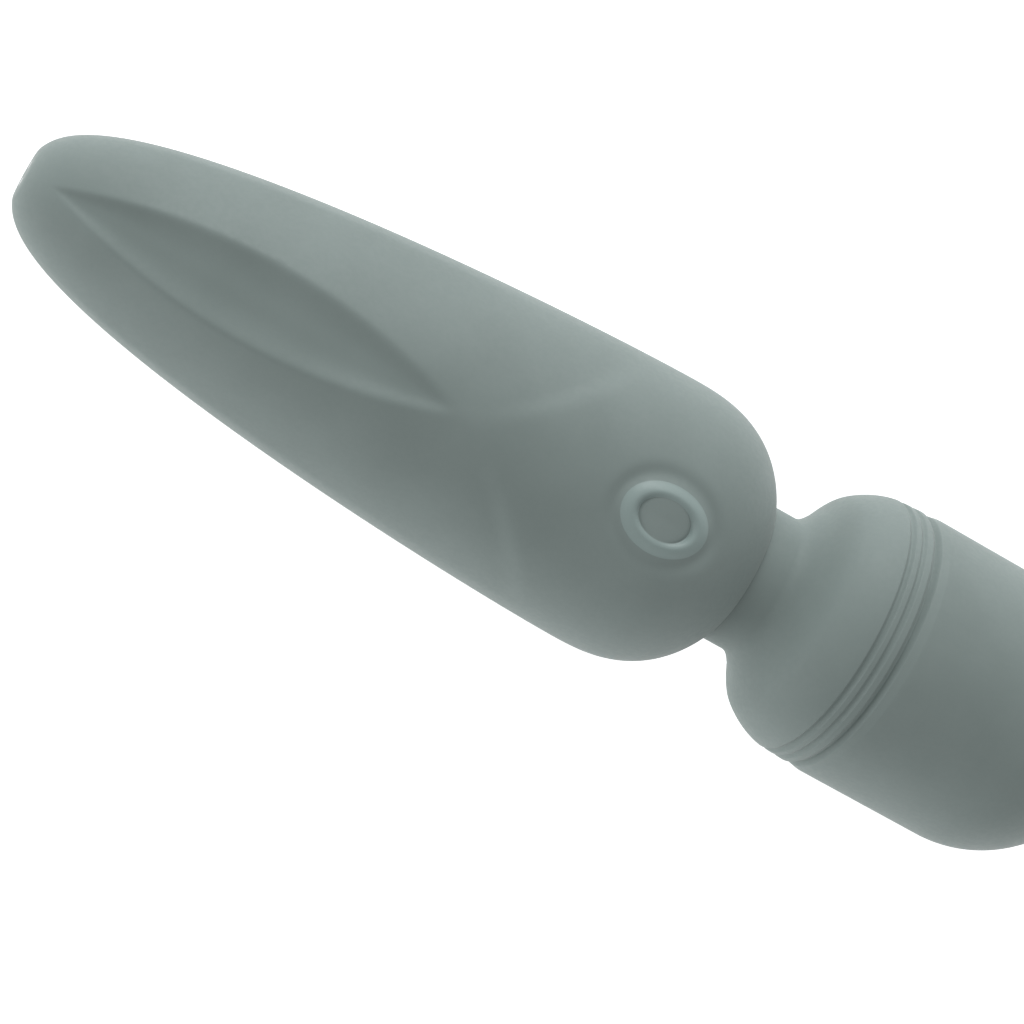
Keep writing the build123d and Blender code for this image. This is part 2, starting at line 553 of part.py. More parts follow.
def make_motor():
    """The motor's fixed parts, the bracket and screws that hold it, and the foam round it."""
    screw_places = (MOTOR_SCREW_Y, -MOTOR_SCREW_Y)
    can = rod(CAN_X0, CAN_X1, MOTOR_R)
    can -= rod(CAN_X0 - PAST, CAN_X1 - CAN_WALL, MOTOR_R - CAN_WALL)
    can += tube(CAN_X1, CAN_X1 + NOSE_L, NOSE_R, BUSHING_R)
    can -= rod(CAN_X1 - CAN_WALL - PAST, CAN_X1 + NOSE_L + PAST, BUSHING_R)
    for y in screw_places:
        can -= rod(CAN_X1 - CAN_WALL - PAST, CAN_X1 + PAST, MOTOR_TAP_R, y=y)
    save("motor_can", can)
    save("motor_end_bell", tube(MOTOR_X0, CAN_X0, BELL_R, BUSHING_R))
    rear = tube(MOTOR_X0 + BUSHING_IN, CAN_X0, BUSHING_R - FIT, SHAFT_R + RUN)
    front_x1 = CAN_X1 + NOSE_L - BUSHING_IN
    front = tube(CAN_X1 - CAN_WALL, front_x1, BUSHING_R - FIT, SHAFT_R + RUN)
    save("motor_bushings", rear, front)
    ring = tube(FIELD_X0, FIELD_X1, MOTOR_R - CAN_WALL - FIT, FIELD_BORE_R)
    half = ring & block(FIELD_X0, FIELD_X1, -OUTSIDE, OUTSIDE, FIELD_GAP, OUTSIDE)
    save("motor_magnets", half, mirror(half, Plane.XY))
    brush = block(BRUSH_X0, BRUSH_X1, BRUSH_Y0, BRUSH_Y1, -BRUSH_HALF, BRUSH_HALF)
    save("motor_brushes", brush, mirror(brush, Plane.XZ))
    plate_x1 = CAN_X1 + BRACKET_T
    plate = tube(CAN_X1 + FIT, plate_x1, BRACKET_R, BRACKET_BORE_R)
    screws = []
    for y in screw_places:
        plate -= rod(CAN_X1 - PAST, plate_x1 + PAST, MOTOR_HOLE_R, y=y)
        screw = rod(plate_x1, plate_x1 + MOTOR_SCREW_HEAD_H, MOTOR_SCREW_HEAD_R, y=y)
        screws.append(screw + rod(CAN_X1 - MOTOR_SCREW_IN, plate_x1, MOTOR_SCREW_R, y=y))
    save("motor_bracket", plate)
    save("motor_screws", *screws)
    save("motor_damper", tube(DAMPER_X0, DAMPER_X1, DAMPER_R, MOTOR_R + FIT))


def make_rotor():
    """Everything that turns: shaft, armature, commutator and the off-centre weight."""
    save("motor_shaft", fillet(rod(SHAFT_X0, WEIGHT_X1 + SHAFT_PAST, SHAFT_R).edges(), SHAFT_ROUND))
    core = tube(ARMATURE_X0, ARMATURE_X1, ARMATURE_R, SHAFT_R + PRESS)
    slot = block(FIELD_X0, CAN_X1, -SLOT_HALF, SLOT_HALF, SLOT_MOUTH_Z, MOTOR_R)
    slot += rod(FIELD_X0, CAN_X1, SLOT_R, z=SLOT_Z)
    coil = rod(WINDING_X0, WINDING_X1, WINDING_R, z=SLOT_Z)
    turns = [Rot(360 * pole / POLES, 0, 0) for pole in range(POLES)]
    save("motor_armature", core - [turn * slot for turn in turns])
    save("motor_windings", *[turn * coil for turn in turns])
    save("motor_commutator", tube(COMMUTATOR_X0, COMMUTATOR_X1, COMMUTATOR_R, SHAFT_R + PRESS))
    weight = rod(WEIGHT_X0, WEIGHT_X1, WEIGHT_R)
    weight &= block(WEIGHT_X0, WEIGHT_X1, -OUTSIDE, OUTSIDE, -OUTSIDE, 0)
    weight += rod(WEIGHT_X0, WEIGHT_X1, WEIGHT_HUB_R)
    weight -= rod(WEIGHT_X0 - PAST, WEIGHT_X1 + PAST, SHAFT_R + PRESS)
    save("eccentric_weight", weight)


make_handle_skin()
make_housing()
make_charging()
make_battery()
make_board()
make_button()
make_neck()
make_head_skin()
make_pod()
make_motor()
make_rotor()
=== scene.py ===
from math import cos, pi, radians, sin

import bmesh
import bpy
import numpy as np
from mathutils import Matrix, Vector


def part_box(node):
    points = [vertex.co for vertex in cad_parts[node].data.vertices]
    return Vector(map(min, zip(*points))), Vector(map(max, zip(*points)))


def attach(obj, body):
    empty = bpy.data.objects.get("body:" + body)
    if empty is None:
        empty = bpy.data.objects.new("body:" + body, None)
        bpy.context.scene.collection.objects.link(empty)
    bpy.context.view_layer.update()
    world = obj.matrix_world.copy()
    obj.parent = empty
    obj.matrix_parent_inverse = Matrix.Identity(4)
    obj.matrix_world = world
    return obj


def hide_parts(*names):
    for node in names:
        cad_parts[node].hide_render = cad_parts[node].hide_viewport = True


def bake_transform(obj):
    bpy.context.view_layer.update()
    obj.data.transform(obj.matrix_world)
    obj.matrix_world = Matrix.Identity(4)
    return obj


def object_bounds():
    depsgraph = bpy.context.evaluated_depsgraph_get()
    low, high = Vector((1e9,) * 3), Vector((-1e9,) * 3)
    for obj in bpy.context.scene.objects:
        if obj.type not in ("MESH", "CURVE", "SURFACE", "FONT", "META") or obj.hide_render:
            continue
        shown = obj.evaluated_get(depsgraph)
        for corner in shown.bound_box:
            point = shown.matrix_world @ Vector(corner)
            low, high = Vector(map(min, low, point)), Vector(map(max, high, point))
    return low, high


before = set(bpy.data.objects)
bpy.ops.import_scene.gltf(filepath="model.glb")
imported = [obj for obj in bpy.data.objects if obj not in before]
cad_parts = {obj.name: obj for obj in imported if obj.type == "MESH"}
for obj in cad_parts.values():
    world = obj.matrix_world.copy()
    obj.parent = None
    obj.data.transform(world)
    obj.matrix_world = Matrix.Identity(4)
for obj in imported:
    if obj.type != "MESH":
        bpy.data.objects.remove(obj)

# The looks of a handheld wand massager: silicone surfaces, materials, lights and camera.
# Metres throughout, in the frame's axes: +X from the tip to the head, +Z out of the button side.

cad_low, cad_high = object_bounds()

MM = 0.001
TINY = 1e-6  # keeps a division away from zero

# Handle, the same outline as its CAD solid
HANDLE_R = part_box("handle_skin")[1].y
BUTTON_LOW, BUTTON_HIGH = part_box("button_cap")
WIDEST_X = (BUTTON_LOW.x + BUTTON_HIGH.x) / 2
TIP_SHIFT = 0.35 * MM
LEAF_POWER, LEAF_ROOT = 1.42, 2.95
SHOULDER_L, SHOULDER_POWER = 20.6 * MM, 2.55
SKIN = 2.4 * MM
PORT_GAP, MOUTH_GAP = 0.05 * MM, 0.8 * MM
PORT_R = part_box("charge_port")[1].y + PORT_GAP
NECK_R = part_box("neck_sleeve")[1].y
MOUTH_R = NECK_R + MOUTH_GAP  # the cover's opening, clear of the neck when it bends
# Control points of the curve from the tip's flat face to the leaf: place along X and radius, in mm
TIP_CORNER = [(0, 3.0), (0, 3.9), (0.45, 4.6)]
LEAF_FIRST_X = 0.5 * MM
CORNER_POINTS, LEAF_POINTS, SHOULDER_POINTS = 30, 900, 500  # of the outline, before it is resampled

# Mesh resolution of the handle: the inner surface has a quarter of the rows and columns
ROWS, COLUMNS, COARSE = 313, 272, 4
WINDOW_ROWS, WINDOW_HALF = 64, 24  # the part of that grid that the button's bezel takes
WINDOW_AHEAD = 12 * MM  # about how far before the button's middle that part starts

# Leaf-shaped recess
LEAF_X0, LEAF_X1 = 3.6 * MM, 63.7 * MM
LEAF_HALF, LEAF_DEPTH = 5.7 * MM, 1.95 * MM
LEAF_FLOOR, LEAF_TAPER = 2.8, 0.8  # powers: how flat the floor is across, how it rises to its ends
LEAF_TURN = radians(-3)  # the recess and the petals sit a little to one side of the button
LEAF_REACH = 0.9  # the recess takes no more than this share of the handle's half-width

# Flattened petals beside the recess
PETAL_EDGE = radians(70)
PETAL_DEPTH, PETAL_FADE = 0.045, 0.5  # share of the radius, and the share of that lost towards the end
PETAL_START = (3 * MM, 18 * MM)  # the petals deepen over this stretch
PETAL_TIP_X, PETAL_REACH, PETAL_CURVE = 66.9 * MM, 22.5 * MM, 0.8  # they end further on at the sides
PETAL_STEP = 4.6 * MM
SOFTNESS = 0.5 * MM  # reach of the smoothing of the recess and the petals
SMOOTHING_REACHES = 4  # how many reaches to each side the smoothing looks

# Rings of the button's form: half-length, half-width, and rise at the ends and at the sides, in mm
BUTTON_RINGS = [
    (0.25, 0.18, -0.1, -0.1),
    (2.0, 1.45, -0.13, -0.03),
    (3.65, 2.65, -0.16, 0.1),
    (3.95, 2.9, -0.6, 0.14),
    (4.35, 3.2, 0.1, 0.32),
    (4.95, 3.65, 0.46, 0.48),
    (5.8, 4.3, 0.26, 0.2),
    (6.6, 4.9, -0.2, -0.2),
    (7.5, 6.1, -0.55, -0.52),
    (9.0, 7.6, 0.03, 0.03),
    (10.8, 9.4, 0.0, 0.0),
]
DISC_RING, JOINT_RING = 3, 7  # where the raised ring starts, and where the pad meets the cover
RING_STEPS, RING_SOFTNESS = 7, 0.35
PAD_WALL, PAD_WAIST = 0.9995, 0.95  # the pad's body as shares of the cover's opening
PAD_WAIST_DROP = 0.6 * MM

# Neck
WAIST_X = 117.0 * MM  # between the two hinge axes
SLEEVE_X0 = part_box("neck_sleeve")[0].x
SLEEVE_WALL = 1.8 * MM
NECK_ROWS, NECK_COLUMNS = 44, 192
LOWER_BEND = (109.8 * MM, WAIST_X)
UPPER_BEND = (WAIST_X, 123.5 * MM)

# Head
HEAD_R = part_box("head_skin")[1].y
HEAD_END_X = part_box("head_skin")[1].x
# Points of the widening from the neck, and the curve's direction at each, in mm
FLARE = [(118.4, 10.7), (121.9, 13.3), (124.8, 17.5), (131.0, 20.3)]
FLARE_SLOPES = [(4.4, 0), (3.1, 3.9), (3.6, 3.1), (7.0, 0.7)]
BAND_X, RIM_X, DOME_X = 130 * MM, 137.8 * MM, 158.0 * MM
# Each groove's centre, half-width and depth, in mm
GROOVES = [(131.3, 0.6, 0.45), (133.1, 0.55, 0.36), (135.3, 0.85, 0.62)]
GROOVE_POWER = 1.5
BEVEL_X1, BEVEL_DEPTH = 137.4, 0.3  # from the last groove to the head's full radius, in mm
FLARE_STEPS, DOME_POINTS = 40, 300  # of the outline, before it is resampled
FRONT_ROWS, BAND_ROWS, BACK_ROWS = 250, 120, 70  # up to the dome, in the grooved band, on the dome
HEAD_COLUMNS = 176

# Spring and leads in the neck
SPRING_WIRE_R, SPRING_TURNS, SPRING_POINTS = 0.5 * MM, 5.5, 150
LEAD_R, LEAD_Y = 0.55 * MM, 0.7 * MM
LEAD_SPREAD_X = 122.5 * MM  # from here the two leads part, towards the sides of the motor
LOWER_LEAD_POINTS, UPPER_LEAD_POINTS = 40, 60
WIRE_SIDES = 12
STEEP = 0.9  # a wire that sets off steeper than this is framed from Y instead of Z

# Edges sharper than these stay sharp
COVER_CREASE, WIRE_CREASE, PART_CREASE = radians(40), radians(50), radians(30)


# ---------------------------------------------------------------- meshes


def add_mesh(name, points, faces, crease=COVER_CREASE):
    """A smooth-shaded closed mesh from points and faces, with sharp edges over the given angle."""
    mesh = bpy.data.meshes.new(name)
    mesh.from_pydata([tuple(p) for p in points], [], faces)
    editable = bmesh.new()
    editable.from_mesh(mesh)
    bmesh.ops.recalc_face_normals(editable, faces=editable.faces)
    editable.to_mesh(mesh)
    editable.free()
    mesh.polygons.foreach_set("use_smooth", [True] * len(mesh.polygons))
    mesh.set_sharp_from_angle(angle=crease)
    obj = bpy.data.objects.new(name, mesh)
    bpy.context.scene.collection.objects.link(obj)
    return obj


def soften(field, reach, axis, mode):
    """Gaussian smoothing of a grid of numbers along one axis; reach is in grid steps."""
    size = int(SMOOTHING_REACHES * reach) + 1
    weights = np.exp(-0.5 * (np.arange(-size, size + 1) / reach) ** 2)
    weights /= weights.sum()
    pads = [(size, size) if k == axis else (0, 0) for k in range(field.ndim)]
    wide = np.pad(field, pads, mode=mode)
    length = field.shape[axis]
    return sum(w * wide.take(range(k, k + length), axis) for k, w in enumerate(weights))


def step_up(value):
    """Smooth step from 0 to 1."""
    value = np.clip(value, 0, 1)
    return value * value * (3 - 2 * value)


def resample(line, count):
    """The same line with count points, evenly spaced along it."""
    line = np.array(line, float)
    run = np.concatenate([[0], np.cumsum(np.linalg.norm(np.diff(line, axis=0), axis=1))])
    places = np.linspace(0, run[-1], count)
    return np.column_stack([np.interp(places, run, line[:, k]) for k in range(line.shape[1])])


def directions(line):
    """Unit directions along a line of points."""
    along = np.gradient(line, axis=0)
    return along / np.linalg.norm(along, axis=1)[:, None]


def normals_of(line):
    """Outward unit normals of a half outline that runs towards +X."""
    along = directions(line)
    return np.column_stack([-along[:, 1], along[:, 0]])


def full_turn(count):
    """Angles evenly spaced round a whole turn."""
    return np.linspace(0, 2 * pi, count, endpoint=False)


def around(x, r, angle):
    """The point at that place along X, radius and angle from +Z towards +Y."""
    return np.stack([x + 0 * angle, r * np.sin(angle), r * np.cos(angle)], -1)


def add_loop(points, ring):
    """Adds a ring to the list of points, and returns its points' numbers there."""
    first = len(points)
    points.extend(ring)
    return list(range(first, len(points)))


def strip(first, second):
    """Quads between two closed loops with as many points."""
    count = len(first)
    return [
        (first[k], first[(k + 1) % count], second[(k + 1) % count], second[k])
        for k in range(count)
    ]


def strips(loops):
    """Quads between each closed loop and the next."""
    return [quad for first, second in zip(loops, loops[1:]) for quad in strip(first, second)]


def fan(middle, loop):
    """Triangles between a point and a closed loop."""
    count = len(loop)
    return [(middle, loop[k], loop[(k + 1) % count]) for k in range(count)]


def zip_loops(fine, coarse):
    """Triangles between two closed loops, where the first has a whole number of times as many."""
    ratio = len(fine) // len(coarse)
    faces = []
    for k, here in enumerate(coarse):
        after = coarse[(k + 1) % len(coarse)]
        run = [fine[(k * ratio + i) % len(fine)] for i in range(ratio + 1)]
        for i in range(ratio):
            faces.append((run[i], run[i + 1], here if i < ratio / 2 else after))
        faces.append((run[(ratio + 1) // 2], after, here))
    return faces


def spun_ring(name, outline, columns):
    """A closed outline, clear of the axis, spun about X."""
    points = []
    loops = [add_loop(points, around(x, r, full_turn(columns))) for x, r in outline]
    return add_mesh(name, points, strips([*loops, loops[0]]))


def spun_cup(name, outer, inner, columns):
    """A cup spun about X: its outer line ends on the axis, and its inner line starts there."""
    points = []
    rings = np.vstack([outer[:-1], inner[1:]])
    loops = [add_loop(points, around(x, r, full_turn(columns))) for x, r in rings]
    split = len(outer) - 1
    faces = strips(loops[:split]) + strips(loops[split:]) + strip(loops[-1], loops[0])
    for pole, loop in ((outer[-1], loops[split - 1]), (inner[0], loops[split])):
        middle = add_loop(points, [(pole[0], 0, 0)])[0]
        faces += fan(middle, loop)
    return add_mesh(name, points, faces)


# ---------------------------------------------------------------- handle


def leaf_half_width(x):
    """Half-width of the handle at x, from the tip to its neck end."""
    share = np.clip((x + TIP_SHIFT) / (WIDEST_X + TIP_SHIFT), 0, 1)
    leaf = HANDLE_R * (1 - (1 - share) ** LEAF_POWER) ** (1 / LEAF_ROOT)
    past = np.clip((x - WIDEST_X) / SHOULDER_L, 0, 1)
    return np.where(x < WIDEST_X, leaf, HANDLE_R * np.sqrt(1 - past**SHOULDER_POWER))


def handle_outline():
    """Half outline of the handle from the charging plug to the neck, evenly spaced."""
    share = np.linspace(0, 1, CORNER_POINTS)[:, None]
    first, middle, last = (np.array(p) * MM for p in TIP_CORNER)
    rounded = (1 - share) ** 2 * first + 2 * share * (1 - share) * middle + share**2 * last
    neck_share = (1 - (MOUTH_R / HANDLE_R) ** 2) ** (1 / SHOULDER_POWER)
    end_x = WIDEST_X + SHOULDER_L * neck_share
    leaf_x = np.linspace(LEAF_FIRST_X**0.5, WIDEST_X**0.5, LEAF_POINTS) ** 2
    shoulder_x = end_x - (end_x - WIDEST_X) * np.linspace(1, 0, SHOULDER_POINTS)[1:] ** 2
    xs = np.concatenate([leaf_x, shoulder_x])
    line = np.vstack([[(0, PORT_R)], rounded, np.column_stack([xs, leaf_half_width(xs)])])
    return resample(line, ROWS)


def leaf_edge(x):
    """Half-width of the leaf-shaped recess at x, as an arc between its pointed ends."""
    half = (LEAF_X1 - LEAF_X0) / 2
    radius = (half**2 + LEAF_HALF**2) / (2 * LEAF_HALF)
    off = np.clip(x - LEAF_X0 - half, -half, half)
    return np.maximum(np.sqrt(radius**2 - off**2) - (radius - LEAF_HALF), 0)


def handle_relief(x, r, angle):
    """How far the surface lies below the plain form: the recess and the flattened petals."""
    angle = angle - LEAF_TURN
    side = np.abs(np.arctan2(np.sin(angle), np.abs(np.cos(angle))))
    front = np.cos(angle) > 0
    y = np.abs(r * np.sin(angle))
    edge = leaf_edge(x)
    inside = np.clip(1 - (y / np.maximum(edge, TINY)) ** LEAF_FLOOR, 0, 1)
    recess = np.where(front, LEAF_DEPTH * (edge / LEAF_HALF) ** LEAF_TAPER * inside, 0)

    start = np.arcsin(np.clip(edge / np.maximum(r, TINY), 0, LEAF_REACH))
    across = np.clip((side - start) / (PETAL_EDGE - start), 0, 1)
    end = PETAL_TIP_X + PETAL_REACH * np.sin(side) ** PETAL_CURVE
    fade = 1 - PETAL_FADE * step_up((x - end / 2) / (end / 2))
    arch = 4 * across * (1 - across)  # 1 halfway across each petal
    petal = PETAL_DEPTH * r * arch * fade
    petal *= step_up((end - x) / PETAL_STEP)
    petal *= step_up((x - PETAL_START[0]) / (PETAL_START[1] - PETAL_START[0]))
    return recess + petal


def handle_grids(line):
    """The cover's outer and inner surfaces, as grids of points along the outline and round X."""
    normal = normals_of(line)
    angles = np.arange(COLUMNS) * 2 * pi / COLUMNS
    x, angle = np.meshgrid(line[:, 0], angles, indexing="ij")
    r = np.repeat(line[:, 1:], COLUMNS, 1)
    relief = handle_relief(x, r, angle)
    row_step = np.linalg.norm(line[-1] - line[-2])
    relief = soften(relief, SOFTNESS / row_step, 0, "edge")
    relief = soften(relief, SOFTNESS / (2 * pi * HANDLE_R / COLUMNS), 1, "wrap")
    outer = around(x - relief * normal[:, :1], r - relief * normal[:, 1:], angle)
    inner_x = x - SKIN * normal[:, :1]
    least_r = np.where(x < WIDEST_X, PORT_R, MOUTH_R)
    inner_r = np.maximum(r - SKIN * normal[:, 1:], least_r)
    inner = around(inner_x, inner_r, angle)[::COARSE, ::COARSE]
    return outer, inner


def window_loop(first_row, step):
    """Row and column of each point round the bezel's window, column 0 being the middle."""
    rows = range(first_row, first_row + WINDOW_ROWS, step)
    columns = range(-WINDOW_HALF, WINDOW_HALF, step)
    loop = [(row, -WINDOW_HALF) for row in rows]
    loop += [(first_row + WINDOW_ROWS, column) for column in columns]
    loop += [(row + step, WINDOW_HALF) for row in reversed(rows)]
    loop += [(first_row, column + step) for column in reversed(columns)]
    return loop


def grid_faces(at, step, first_row):
    """Quads of one of the cover's grids, apart from the bezel's window."""
    faces = []
    for row in range(0, ROWS - 1, step):
        for column in range(-COLUMNS // 2, COLUMNS // 2, step):
            in_rows = first_row <= row < first_row + WINDOW_ROWS
            if in_rows and -WINDOW_HALF <= column < WINDOW_HALF:
                continue
            near = (at(row, column), at(row + step, column))
            far = (at(row + step, column + step), at(row, column + step))
            faces.append(near + far)
    return faces


def button_rings(border):
    """The button's form as rings of points, the last one just inside the border loop."""
    scale = np.array(BUTTON_RINGS[-1][:2]) * MM
    angle = np.arctan2(border[:, 1] / scale[1], (border[:, 0] - WIDEST_X) / scale[0])
    keys = []
    for half_length, half_width, end_rise, side_rise in BUTTON_RINGS:
        rise = end_rise * np.cos(angle) ** 2 + side_rise * np.sin(angle) ** 2
        x = WIDEST_X + half_length * MM * np.cos(angle)
        keys.append(np.column_stack([x, half_width * MM * np.sin(angle), rise * MM]))
    keys.append(np.column_stack([border[:, :2], 0 * angle]))
    rings = []
    for first, second in zip(keys, keys[1:]):
        rings += [first + (second - first) * k / RING_STEPS for k in range(RING_STEPS)]
    rings = soften(np.array(rings + [keys[-1]]), RING_SOFTNESS * RING_STEPS, 0, "edge")
    y = rings[..., 1]
    rings[..., 2] += np.sqrt(leaf_half_width(rings[..., 0]) ** 2 - y**2)
    return rings[:-2]


def make_handle_skin():
    """The silicone cover with its recess, petals and bezel. Returns the button's rings."""
    line = handle_outline()
    outer, inner = handle_grids(line)
    window_start = int(np.argmin(np.abs(line[:, 0] - (WIDEST_X - WINDOW_AHEAD))))
    window_start = window_start // COARSE * COARSE
    outer_count = ROWS * COLUMNS
    inner_columns = COLUMNS // COARSE

    def outer_at(row, column):
        """Number of a point of the outer grid."""
        return row * COLUMNS + column % COLUMNS

    def inner_at(row, column):
        """Number of the inner grid's point below that one."""
        return outer_count + row // COARSE * inner_columns + column % COLUMNS // COARSE

    points = [*outer.reshape(-1, 3), *inner.reshape(-1, 3)]
    faces = grid_faces(outer_at, 1, window_start) + grid_faces(inner_at, COARSE, window_start)
    for row in (0, ROWS - 1):
        fine = [outer_at(row, column) for column in range(COLUMNS)]
        faces += zip_loops(fine, [inner_at(row, column) for column in range(0, COLUMNS, COARSE)])

    border = window_loop(window_start, 1)
    rings = button_rings(np.array([outer[row, column % COLUMNS] for row, column in border]))
    joint = JOINT_RING * RING_STEPS
    below = rings[joint] - (0, 0, SKIN)
    loops = [add_loop(points, ring) for ring in (below, *rings[joint:])]
    faces += strips([*loops, [outer_at(row, column) for row, column in border]])
    inner_border = [inner_at(row, column) for row, column in window_loop(window_start, COARSE)]
    faces += zip_loops(loops[0], inner_border)

    skin = add_mesh("handle_cover", points, faces)
    skin.data.materials.append(silicone())
    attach(skin, "handle")
    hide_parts("handle_skin")
    return rings


def make_button_pad(rings):
    """The moving pad: centre disc, end grooves and raised ring, on a closed body."""
    rings = rings[: JOINT_RING * RING_STEPS + 1]
    axis = np.array([WIDEST_X, 0, 0])
    wall = (rings[-1] - axis) * (PAD_WALL, PAD_WALL, 1) + axis
    waist = (rings[-1] - axis) * (PAD_WAIST, PAD_WAIST, 1) + axis - (0, 0, PAD_WAIST_DROP)
    foot = waist.copy()
    foot[:, 2] = BUTTON_LOW.z
    points = [(WIDEST_X, 0, rings[0][:, 2].mean())]
    loops = [add_loop(points, ring) for ring in (*rings[:-1], wall, waist, foot)]
    underside = add_loop(points, [(WIDEST_X, 0, BUTTON_LOW.z)])[0]
    faces = strips(loops) + fan(0, loops[0]) + fan(underside, loops[-1])
    pad = add_mesh("button_pad", points, faces)
    pad.data.materials.append(silicone())
    pad.data.materials.append(ring_silicone_with_highlight())
    # The raised ring's faces take the paler silicone, whose lighter colour is partly a painted highlight
    per_ring = RING_STEPS * len(loops[0])
    for polygon in pad.data.polygons[DISC_RING * per_ring : JOINT_RING * per_ring]:
        polygon.material_index = 1
    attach(pad, "button")
    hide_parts("button_cap")


# ---------------------------------------------------------------- neck and head


def make_neck_sleeve():
    """The lower half of the neck's cover, between the handle and the link."""
    xs = np.linspace(SLEEVE_X0, WAIST_X, NECK_ROWS)
    outer = [(x, NECK_R) for x in xs]
    inner = [(x, NECK_R - SLEEVE_WALL) for x in xs[::-1]]
    sleeve = spun_ring("neck_cover", outer + inner, NECK_COLUMNS)
    sleeve.data.materials.append(silicone())
    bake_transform(sleeve)
    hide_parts("neck_sleeve")


def flare_line():
    """The widening from the neck to the head: cubics through its points."""
    points, slopes = np.array(FLARE), np.array(FLARE_SLOPES)
    share = np.linspace(0, 1, FLARE_STEPS, endpoint=False)[:, None]
    square, cube = share**2, share**3
    line = []
    for k in range(len(points) - 1):
        curve = (2 * cube - 3 * square + 1) * points[k] + (cube - 2 * square + share) * slopes[k]
        curve += (3 * square - 2 * cube) * points[k + 1] + (cube - square) * slopes[k + 1]
        line += list(curve * MM)
    return line


def groove_dip(x):
    """Depth of the three fine grooves and the bevel after them, at x."""
    dip = 0 * x
    for centre, half, depth in GROOVES:
        dip += depth * MM * np.clip(1 - ((x / MM - centre) / half) ** 2, 0, 1) ** GROOVE_POWER
    last = GROOVES[-1][0]
    share = (x / MM - last) / (BEVEL_X1 - last)
    return dip + np.where(share > 0, BEVEL_DEPTH * MM * np.clip(1 - share, 0, 1), 0)


def head_outline():
    """Half outline of the head without its grooves, with finer rows where they go."""
    turn = np.linspace(0, pi / 2, DOME_POINTS)[1:]
    dome = [(DOME_X + (HEAD_END_X - DOME_X) * sin(a), HEAD_R * cos(a)) for a in turn]
    flare_end = (FLARE[-1][0] * MM, FLARE[-1][1] * MM)
    line = [(WAIST_X, NECK_R), *flare_line(), flare_end, (RIM_X, HEAD_R), (DOME_X, HEAD_R), *dome]
    line = np.array(line)
    front = resample(line[line[:, 0] <= DOME_X], FRONT_ROWS)
    band_x = np.linspace(BAND_X, RIM_X, BAND_ROWS)[1:]
    band = np.column_stack([band_x, np.interp(band_x, line[:, 0], line[:, 1])])
    back = resample(line[line[:, 0] >= DOME_X], BACK_ROWS)[1:]
    return np.vstack([front[front[:, 0] <= BAND_X], band, front[front[:, 0] > RIM_X], back])


def make_head_skin():
    """The head's cover from the waist of the neck to the rounded end."""
    outer = head_outline()
    inner = (outer - SKIN * normals_of(outer))[::COARSE]
    outer[:, 1] -= groove_dip(outer[:, 0])
    outer[-1] = (HEAD_END_X, 0)
    inner = inner[inner[:, 0] > WAIST_X]
    inner[:, 1] = np.maximum(inner[:, 1], NECK_R - SLEEVE_WALL)
    inner[-1] = (HEAD_END_X - SKIN, 0)
    inner = np.vstack([inner[::-1], [(WAIST_X, NECK_R - SLEEVE_WALL)]])
    skin = spun_cup("head_cover", outer, inner, HEAD_COLUMNS)
    skin.data.materials.append(silicone())
    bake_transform(skin)
    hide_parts("head_skin")


# ---------------------------------------------------------------- materials


# Silicone: colours and roughness ranges of the covers and of the button's ring; the ring's paler colours
# are partly its own tint and partly a painted highlight
COVER_LOOK = ((0.225, 0.277, 0.266), (0.24, 0.294, 0.283), (0.58, 0.72))
RING_LOOK_WITH_HIGHLIGHT = ((0.272, 0.348, 0.337), (0.29, 0.37, 0.358), (0.4, 0.48))
# Features a metre and detail of each of the silicone's noises, and height and strength of its bumps
CLOUD_NOISE, GLOSS_NOISE, SWELL_NOISE, TOOTH_NOISE = (90, 4), (1400, 3), (260, 2), (5200, 2)
SWELL_BUMP, TOOTH_BUMP = (0.06 * MM, 0.25), (0.012 * MM, 0.5)
SILICONE_SPECULAR, SILICONE_SHEEN, SILICONE_SHEEN_ROUGH = 0.42, 0.12, 0.45

NOISE_LOW, NOISE_HIGH = 0.35, 0.65  # most of a noise's values lie between these
GRAIN_DETAIL, GRAIN_STRENGTH = 4, 0.6
WEAR_DETAIL, WEAR_RATIO = 3, 9  # the wear's noise is this many times coarser than the grain's

# Each finish: dark and light colour, noise scale, stretch, roughness range, metallic, bump height
FINISHES = {
    "housing_plastic": ((0.13, 0.14, 0.14), (0.17, 0.18, 0.18), 1800, (1, 1, 1), (0.42, 0.6), 0, 2e-5),
    "dark_plastic": ((0.03, 0.03, 0.033), (0.055, 0.055, 0.06), 2400, (1, 1, 1), (0.35, 0.5), 0, 1.5e-5),
    "steel": ((0.5, 0.51, 0.52), (0.66, 0.67, 0.68), 1500, (0.06, 1, 1), (0.22, 0.4), 1, 1e-5),
    "ferrite": ((0.045, 0.045, 0.05), (0.09, 0.09, 0.095), 3000, (1, 1, 1), (0.55, 0.8), 0, 4e-5),
    "brass": ((0.62, 0.44, 0.18), (0.8, 0.6, 0.3), 1700, (0.3, 1, 1), (0.2, 0.36), 1, 1e-5),
    "board": ((0.02, 0.13, 0.06), (0.05, 0.24, 0.12), 420, (1, 2.4, 1), (0.3, 0.45), 0, 4e-5),
    "battery_wrap": ((0.05, 0.13, 0.3), (0.08, 0.2, 0.42), 300, (0.3, 1, 1), (0.16, 0.3), 0, 4e-5),
    "foam": ((0.07, 0.07, 0.07), (0.15, 0.15, 0.15), 1300, (1, 1, 1), (0.8, 0.95), 0, 1.8e-4),
    "lead_cover": ((0.3, 0.03, 0.025), (0.44, 0.06, 0.05), 900, (0.2, 1, 1), (0.35, 0.5), 0, 2e-5),
}
